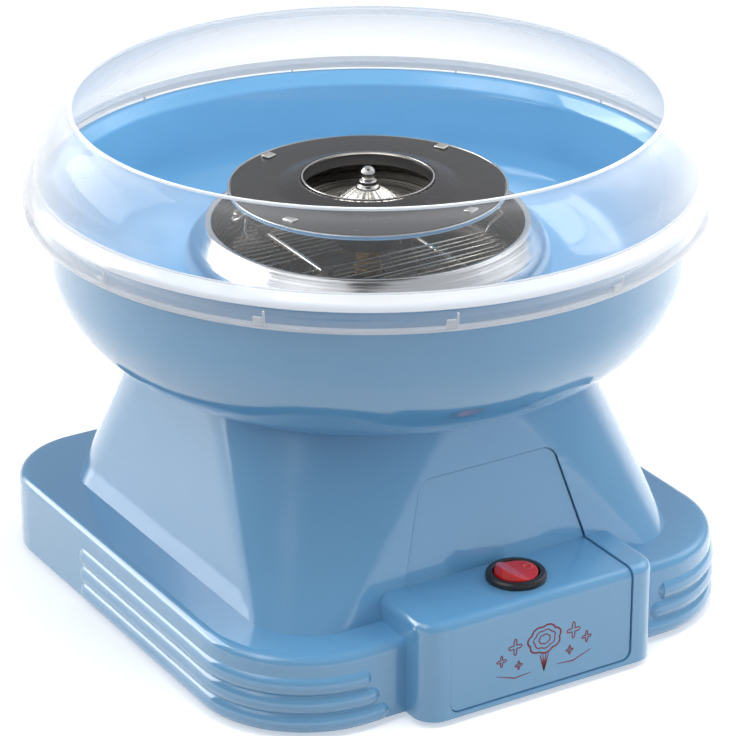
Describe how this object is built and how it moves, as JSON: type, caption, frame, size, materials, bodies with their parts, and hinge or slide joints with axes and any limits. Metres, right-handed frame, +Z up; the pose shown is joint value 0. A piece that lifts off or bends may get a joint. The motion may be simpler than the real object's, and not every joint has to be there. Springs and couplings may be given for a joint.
{
  "type": "cotton candy machine",
  "caption": "Counter-top cotton candy machine: a square base with a rocker switch carries a round bowl, a clear splash guard and a heated spinner head.",
  "frame": {"origin": "on the spin axis, at the surface the feet stand on", "axes": "+Z up along the spin axis, -Y towards the switch box, +X to the right seen from the switch box"},
  "size_m": [0.263, 0.263, 0.2002],
  "materials": {
    "black_plastic": "satin",
    "blue_plastic": "gloss",
    "brass": "satin",
    "ceramic": "matte",
    "circuit_board": "satin",
    "clear_plastic": "gloss",
    "coated_steel": "satin",
    "copper": "satin",
    "ferrite": "matte",
    "foot_rubber": "matte",
    "heater_alloy": "satin",
    "plain_steel": "satin",
    "polished_aluminium": "polished",
    "polished_steel": "polished",
    "red_plastic": "gloss",
    "rubber": "matte",
    "white_plastic": "satin"
  },
  "bodies": {
    "housing": {"base_housing": "blue_plastic", "board_components": "black_plastic", "bottom_cover": "blue_plastic", "bottom_cover_screws": "plain_steel", "carbon_brushes": "ferrite", "cord_gland": "black_plastic", "front_panel": "blue_plastic", "heat_shield": "polished_aluminium", "heater_bars": "polished_steel", "heater_insulators": "ceramic", "heater_wires": "heater_alloy", "internal_leads": "white_plastic", "motor_bushes": "brass", "motor_case": "plain_steel", "motor_end_cap": "black_plastic", "motor_magnets": "ferrite", "motor_mount_plate": "plain_steel", "motor_screws": "plain_steel", "plate_screws": "plain_steel", "rectifier_board": "circuit_board", "rubber_bushes": "rubber", "shield_screws": "plain_steel", "shield_spacers": "plain_steel", "suction_foot_left_front": "foot_rubber", "suction_foot_left_rear": "foot_rubber", "suction_foot_right_front": "foot_rubber", "suction_foot_right_rear": "foot_rubber", "switch_body": "black_plastic", "switch_terminals": "brass", "terminal_block": "white_plastic", "thermal_cutout": "black_plastic"},
    "rotor": {"drive_shaft": "plain_steel", "drive_pin": "plain_steel", "brass_coupling": "brass", "motor_armature": "plain_steel", "motor_commutator": "copper", "cooling_fan": "black_plastic"},
    "spinner_head": {"spinner_top_disc": "coated_steel", "spinner_pan": "polished_steel", "spinner_crimp_tabs": "polished_steel", "spinner_hub": "black_plastic", "spinner_ball_nut": "polished_steel"},
    "bowl": {"collecting_bowl": "blue_plastic"},
    "guard": {"splash_guard": "clear_plastic"},
    "rocker": {"switch_rocker": "red_plastic"}
  },
  "joints": [
    {"name": "head_spin", "type": "hinge", "parent": "housing", "child": "rotor", "pos_m": [0, 0, 0.1], "axis": [0, 0, 1], "continuous": true},
    {"name": "head_lift_off", "type": "slide", "parent": "rotor", "child": "spinner_head", "axis": [0, 0, 1], "range_m": [0, 0.04]},
    {"name": "switch_rock", "type": "hinge", "parent": "housing", "child": "rocker", "pos_m": [0.0017, -0.1035, 0.044], "axis": [0, 1, 0], "range_deg": [-20, 0]},
    {"name": "bowl_lift_off", "type": "slide", "parent": "housing", "child": "bowl", "axis": [0, 0, 1], "range_m": [0, 0.1]},
    {"name": "guard_lift_off", "type": "slide", "parent": "bowl", "child": "guard", "axis": [0, 0, 1], "range_m": [0, 0.05]}
  ]
}
